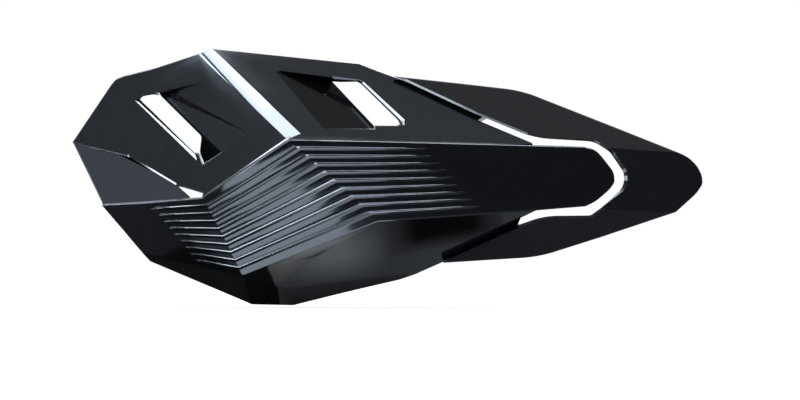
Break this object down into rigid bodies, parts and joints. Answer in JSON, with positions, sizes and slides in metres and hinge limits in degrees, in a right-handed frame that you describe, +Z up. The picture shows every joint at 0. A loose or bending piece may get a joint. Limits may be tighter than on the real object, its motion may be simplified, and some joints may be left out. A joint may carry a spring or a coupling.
{
  "type": "motorcycle hand guard",
  "caption": "Open hand guard for the right grip: gloss faceted shield with vents and a kinked ribbed band, matt nose cover, moulded arm and two-piece handlebar clamp.",
  "frame": {"origin": "centre of the handlebar clamp's bore", "axes": "+X along the handlebar towards the middle of the motorcycle, -Y forward, +Z up"},
  "size_m": [0.2691, 0.112, 0.1096],
  "materials": {
    "gloss_black": "gloss moulded polypropylene",
    "matt_black": "fine-grained moulded polypropylene",
    "brass": "turned",
    "rubber": "moulded",
    "zinc_steel": "zinc plated",
    "black_steel": "black oxide",
    "black_nylon": "moulded glass-filled nylon",
    "acetal": "natural acetal"
  },
  "bodies": {
    "clamp": {"clamp_body": "black_nylon", "clamp_cap": "black_nylon", "clamp_bolts": "black_steel", "clamp_washers": "zinc_steel", "clamp_nuts": "zinc_steel", "pivot_bolt": "black_steel", "pivot_washers": "zinc_steel", "pivot_nut": "zinc_steel", "thrust_washers": "acetal"},
    "guard": {"shield": "gloss_black", "nose_cover": "matt_black", "insert_bushes": "brass", "grommets": "rubber", "grommet_sleeves": "zinc_steel", "shield_washers": "zinc_steel", "shield_screws": "black_steel", "nose_screws": "black_steel", "nose_washers": "zinc_steel", "arm": "black_nylon", "arm_bush": "zinc_steel"}
  },
  "joints": [
    {"name": "arm_swivel", "type": "hinge", "parent": "clamp", "child": "guard", "pos_m": [0, -0.031, 0], "axis": [0, 0, 1], "range_deg": [-15, 15]}
  ]
}
